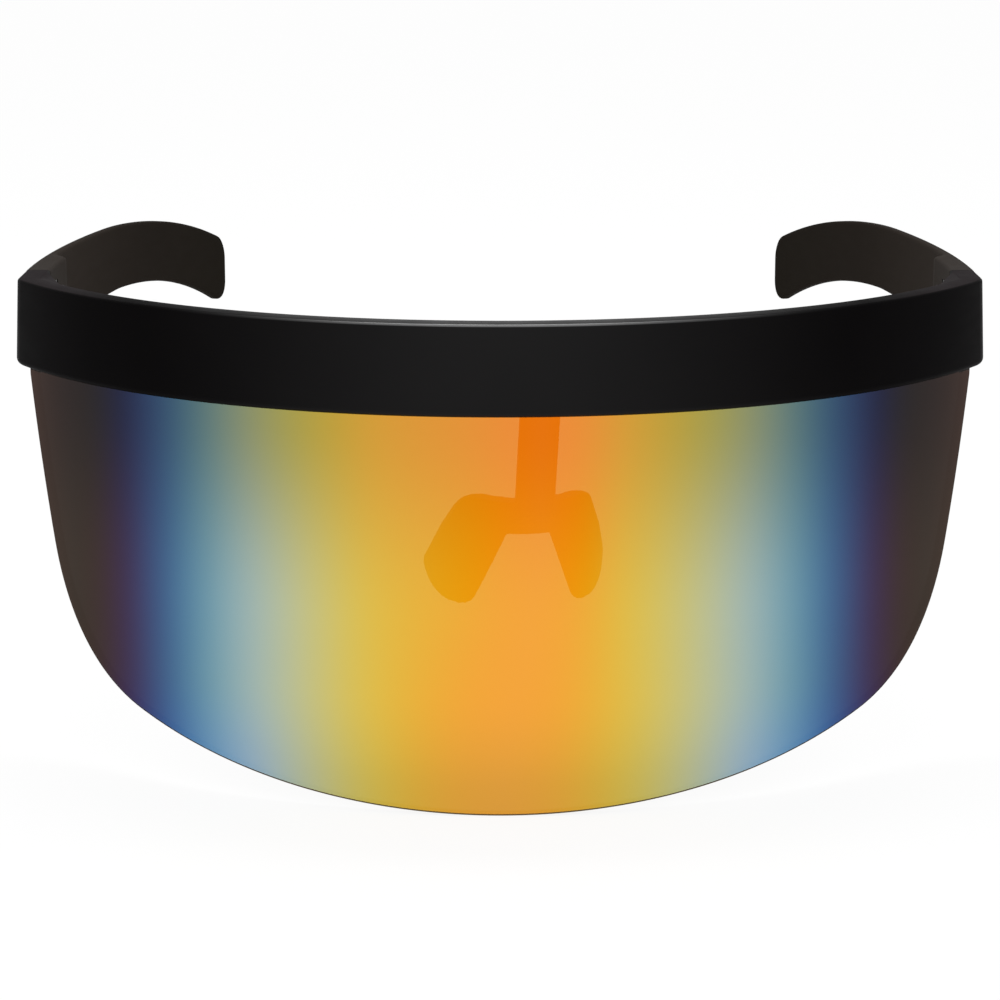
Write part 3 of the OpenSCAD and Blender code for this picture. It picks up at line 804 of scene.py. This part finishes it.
def bar_colour(tree):
    """Black with faint clouds; the top is painted browner and paler towards the ends, as painted light.
    """
    on_top = map_range(tree, upward(tree), 0.85, 0.98, 0.0, 1.0)
    at_ends = map_range(tree, sideways(tree), 0.062, 0.080, 0.0, 1.0)
    top_light_share = math_node(tree, "MULTIPLY", on_top, at_ends)
    return mixed_colour(tree, top_light_share, clouded(*BAR_BLACK)(tree), BAR_TOP_LIGHT)


def bar_gloss(tree):
    """Specular level of the bar: high in the middle and on the front edge, low on top and at the ends."""
    aside, facing = sideways(tree), upward(tree)
    along = map_range(tree, aside, 0.004, 0.062, 0.12, 0.007)
    edge_gain = map_range(tree, aside, 0.010, 0.060, 16.0, 1.0)
    top_gain = map_range(tree, aside, 0.004, 0.050, 0.36, 0.17)
    on_edge = map_range(tree, facing, 0.15, 0.5, 0.0, 1.0)
    on_top = map_range(tree, facing, 0.8, 0.98, 0.0, 1.0)
    gain = mixed_number(tree, on_top, mixed_number(tree, on_edge, 1.0, edge_gain), top_gain)
    return math_node(tree, "MULTIPLY", along, gain)


def metal(name, colour, rough, stretch):
    """Blackened or plain steel with cloudy tarnish and fine tumbling marks."""
    material, tree = new_material(name)
    tarnished = tuple(c * TARNISH for c in colour)
    clouds = noise(tree, scale=420, detail=4)
    marks = noise(tree, scale=900, detail=3, stretch=stretch)
    body = add(tree, "ShaderNodeBsdfPrincipled", {
        "Metallic": 1.0,
        "Base Color": ramp(tree, clouds, [(0.3, tarnished), (0.6, colour)]),
        "Roughness": map_range(tree, marks, 0.3, 0.7, rough - 0.08, rough + 0.1),
        "Normal": bump_from(tree, marks, 0.25),
    })
    finish_material(tree, body.outputs[0])
    return material


# Lens
LENS_END_TURN = math.radians(50)
# Mirror coating: a colour every 5 degrees from its middle streak out to the lens's ends
COATING = [
    (0.87, 0.30, 0.008),  # orange
    (0.87, 0.30, 0.003),
    (0.74, 0.385, 0.006),  # amber
    (0.61, 0.47, 0.055),  # yellow
    (0.45, 0.48, 0.22),  # pale green
    (0.30, 0.43, 0.43),  # silver
    (0.115, 0.30, 0.38),  # pale blue
    (0.017, 0.106, 0.27),  # blue
    (0.04, 0.019, 0.086),  # violet
    (0.037, 0.0185, 0.014),  # brown
    (0.025, 0.022, 0.018),  # smoke
]
# Painted shade on the coating: what is left of its red, green and blue just under the bar, every 10
# degrees, and at the lower rim, where it also turns bluer
PAINTED_BAR_SHADE = [
    (0.9, 0.58, 0.9),
    (0.93, 0.55, 0.0),
    (0.65, 0.6, 0.12),
    (0.67, 0.51, 0.43),
    (0.0, 0.52, 0.64),
    (0.4, 0.35, 0.6),
]
PAINTED_RIM_SHADE = (0.74, 0.86, 1.25)
# What half of the tinted sheet lets through, by the same share of the way out
SHEET_TINT = [
    (0.0, (0.45, 0.33, 0.20)),
    (0.24, (0.41, 0.35, 0.20)),
    (0.4, (0.34, 0.29, 0.20)),
    (0.6, (0.22, 0.21, 0.19)),
    (0.84, (0.12, 0.115, 0.11)),
]
# The mirror's colour at a grazing look, and its roughness without and with smears
MIRROR_GRAZING, MIRROR_ROUGH = (0.72, 0.62, 0.58), (0.05, 0.12)
# The cut edge: its browns, its specular level, its roughness and its share over the sheet's tint
EDGE_BROWN = [(0.35, (0.040, 0.032, 0.028)), (0.7, (0.075, 0.062, 0.055))]
EDGE_GLOSS, EDGE_ROUGH, EDGE_SHARE = 0.15, (0.35, 0.5), 0.25
# Turn of the streak off the middle of the lens, near the bar and at the lower rim
STREAK_TURN = math.radians(5), math.radians(0.5)
STREAK_REACH = math.radians(14)
# Heights in metres over which the streak swings back, the painted shade under the bar fades and the
# painted shade at the lower rim comes in
STREAK_Z, UNDER_BAR_Z, RIM_Z = (-0.030, -0.080), (-0.0155, -0.052), (-0.062, -0.083)


def lens_place(tree):
    """Share of the way from the coating's streak to the lens's end, and height."""
    axes = object_axes(tree)
    ahead = math_node(tree, "SUBTRACT", BAR_MID_R * MM, axes["Y"])
    turn = math_node(tree, "ARCTAN2", axes["X"], ahead)
    streak = map_range(tree, axes["Z"], *STREAK_Z, *STREAK_TURN)
    near = map_range(tree, math_node(tree, "ABSOLUTE", turn), 0.0, STREAK_REACH, 1.0, 0.0)
    from_streak = math_node(tree, "SUBTRACT", turn, math_node(tree, "MULTIPLY", streak, near))
    return math_node(tree, "DIVIDE", math_node(tree, "ABSOLUTE", from_streak), LENS_END_TURN), axes["Z"]


def coating_colour(tree, place, height):
    """The coating's gradient, with painted shade just under the bar and at the lower rim, where the shade
    also turns it bluer.
    """
    bar_shade_share = map_range(tree, height, *UNDER_BAR_Z, 1.0, 0.0)
    rim_shade_share = map_range(tree, height, *RIM_Z, 0.0, 1.0)
    bar_shade_colour = even_ramp(tree, place, PAINTED_BAR_SHADE)
    colour = mixed_colour(tree, bar_shade_share, even_ramp(tree, place, COATING), bar_shade_colour, "MULTIPLY")
    return mixed_colour(tree, rim_shade_share, colour, PAINTED_RIM_SHADE, "MULTIPLY")


def see_through(tree, colour):
    return add(tree, "ShaderNodeBsdfTransparent", {"Color": colour}).outputs[0]


def lens_coat():
    """Outer face: a mirror coating, and half of the sheet's tint for the light that it lets through."""
    material, tree = new_material("mirror_coating")
    place, height = lens_place(tree)
    colour = coating_colour(tree, place, height)
    smears = noise(tree, scale=55, detail=5, stretch=(1, 1, 0.35))
    mirror = add(tree, "ShaderNodeBsdfPrincipled", {
        "Metallic": 1.0,
        "Specular Tint": MIRROR_GRAZING,
        "Base Color": colour,
        "Roughness": map_range(tree, smears, 0.35, 0.75, *MIRROR_ROUGH),
    })
    rest = add(tree, "ShaderNodeInvert", {"Color": colour}).outputs["Color"]
    clear = see_through(tree, mixed_colour(tree, 1.0, rest, ramp(tree, place, SHEET_TINT), "MULTIPLY"))
    finish_material(tree, add(tree, "ShaderNodeAddShader", {0: mirror.outputs[0], 1: clear}).outputs[0])
    return material


def lens_inside():
    """Inner face: the other half of the sheet's tint, with the back of the coating seen through it."""
    material, tree = new_material("lens_inner_face")
    place, _ = lens_place(tree)
    finish_material(tree, see_through(tree, ramp(tree, place, SHEET_TINT)))
    return material


def lens_rim():
    """Cut and polished edge of the sheet, tinted like it."""
    material, tree = new_material("lens_edge")
    wear = noise(tree, scale=240, detail=4)
    body = add(tree, "ShaderNodeBsdfPrincipled", {
        "Specular IOR Level": EDGE_GLOSS,
        "Base Color": ramp(tree, wear, EDGE_BROWN),
        "Roughness": map_range(tree, wear, 0.3, 0.7, *EDGE_ROUGH),
    })
    place, _ = lens_place(tree)
    clear = see_through(tree, ramp(tree, place, SHEET_TINT))
    finish_material(tree, mixed_shader(tree, EDGE_SHARE, clear, body.outputs[0]))
    return material


# Stage
WHITE, FLOOR_GREY = (1, 1, 1), (0.9, 0.9, 0.9)
FLOOR_GAP, FLOOR_R = 0.05, 6000.0
FLOOR_GLOW, FLOOR_GLOW_SHARE = 1.03, 0.85
ROOM_LIGHT, ROOM_SEEN = 0.8, 1.0
# Where each lamp is, where it aims, its width and length in metres, and its power in watts
LAMPS = {
    "overhead": ((0.0, 0.25, 0.85), (0, 0.02, 0), (0.5, 0.14), 2.2),
    "front": ((0.0, -1.2, 0.5), (0, 0, -0.04), (1.0, 0.5), 2.0),
}
CAMERA_TARGET, CAMERA_AWAY, CAMERA_RISE = (0, -2.0, -29.0), 495.0, math.radians(12.6)
SENSOR_W, FOCAL_LEN = 36.0, 109.0


def seen_directly(tree):
    """1 for rays from the camera and for what mirrors and glass show, 0 for light on the object."""
    rays = add(tree, "ShaderNodeLightPath").outputs
    bent = math_node(tree, "MAXIMUM", rays["Is Glossy Ray"], rays["Is Transmission Ray"])
    return math_node(tree, "MAXIMUM", rays["Is Camera Ray"], bent)


def make_floor():
    """Plain pale floor that still takes the object's shadow and looks white around it."""
    outline = circle(0, 0, FLOOR_R, 64)
    low = cad_low.z / MM - FLOOR_GAP
    floor = new_piece("floor", [(x, y, low) for x, y in outline], [tuple(range(len(outline)))])
    material, tree = new_material("pale_floor")
    white = add(tree, "ShaderNodeEmission", {"Color": WHITE, "Strength": FLOOR_GLOW})
    matt = add(tree, "ShaderNodeBsdfDiffuse", {"Color": FLOOR_GREY})
    share = math_node(tree, "MULTIPLY", seen_directly(tree), FLOOR_GLOW_SHARE)
    finish_material(tree, mixed_shader(tree, share, matt.outputs[0], white.outputs[0]))
    floor.data.materials.append(material)


def make_world():
    world = bpy.data.worlds.new("studio")
    bpy.context.scene.world = world
    world.use_nodes = True
    tree = world.node_tree
    tree.nodes.clear()
    level = mixed_number(tree, seen_directly(tree), ROOM_LIGHT, ROOM_SEEN)
    back = add(tree, "ShaderNodeBackground", {"Color": WHITE, "Strength": level})
    add(tree, "ShaderNodeOutputWorld", {"Surface": back.outputs[0]})


def area_light(name, at, aim, size, power):
    lamp = bpy.data.lights.new(name, "AREA")
    lamp.shape = "RECTANGLE"
    lamp.size, lamp.size_y = size
    lamp.energy = power
    holder = placed(name, lamp)
    holder.location = at
    holder.rotation_mode = "QUATERNION"
    holder.rotation_quaternion = (Vector(aim) - Vector(at)).to_track_quat("-Z", "Y")


def make_camera():
    """Fitted to the photograph."""
    lens = bpy.data.cameras.new("camera")
    lens.sensor_width, lens.lens = SENSOR_W, FOCAL_LEN
    lens.clip_start, lens.clip_end = 0.02, 20.0
    camera = placed("camera", lens)
    back = Vector((0, -math.cos(CAMERA_RISE), math.sin(CAMERA_RISE)))
    camera.location = (Vector(CAMERA_TARGET) + CAMERA_AWAY * back) * MM
    camera.rotation_euler = (math.pi / 2 - CAMERA_RISE, 0, 0)
    bpy.context.scene.camera = camera


# Build
def attach(piece, body, node):
    """Gives a piece its body and hides the CAD node it stands for."""
    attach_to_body(piece, body)
    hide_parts(node)


def dress(piece, material):
    piece.data.materials.clear()
    piece.data.materials.append(material)


bar_black = moulded_plastic("bar_plastic", bar_colour, rough=0.42, gloss=bar_gloss,
                            grain_mm=0.12, grain_strength=0.25)
temple_black = moulded_plastic("temple_outside", clouded(*TEMPLE_BLACK), rough=0.5, gloss=0.08,
                               grain_mm=0.14, grain_strength=0.3)
temple_brown = moulded_plastic("temple_inside", painted_falloff(TEMPLE_BROWN_FALLOFF), rough=0.62, gloss=0.004,
                               grain_mm=0.16, grain_strength=0.3)
nose_black = moulded_plastic("nose_plastic", clouded(*NOSE_BLACK), rough=0.55, gloss=0.12,
                             grain_mm=0.14, grain_strength=0.3)
hinge_metal = metal("blackened_hinge", HINGE_GREY, rough=0.42, stretch=(1, 1, 6))
screw_metal = metal("screw_steel", SCREW_GREY, rough=0.34, stretch=(5, 1, 1))

bar = make_bar()
dress(bar, bar_black)
attach(bar, "front", "brow_bar")
attach(make_lens([lens_coat(), lens_rim(), lens_inside()]), "front", "shield_lens")
nose_piece = make_nose_piece()
dress(nose_piece, nose_black)
attach(nose_piece, "front", "nose_piece")
right_temple = make_temple([temple_black, temple_brown, temple_brown])
left_temple = mirrored(right_temple, "left_temple_band")
attach(right_temple, "right_temple", "right_temple")
attach(left_temple, "left_temple", "left_temple")

for name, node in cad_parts.items():
    if name.endswith("hinge"):
        dress(node, hinge_metal)
    elif "screw" in name:
        dress(node, screw_metal)

make_floor()
make_world()
for name, lamp in LAMPS.items():
    area_light(name, *lamp)
make_camera()
bpy.context.scene.view_settings.view_transform = "Standard"
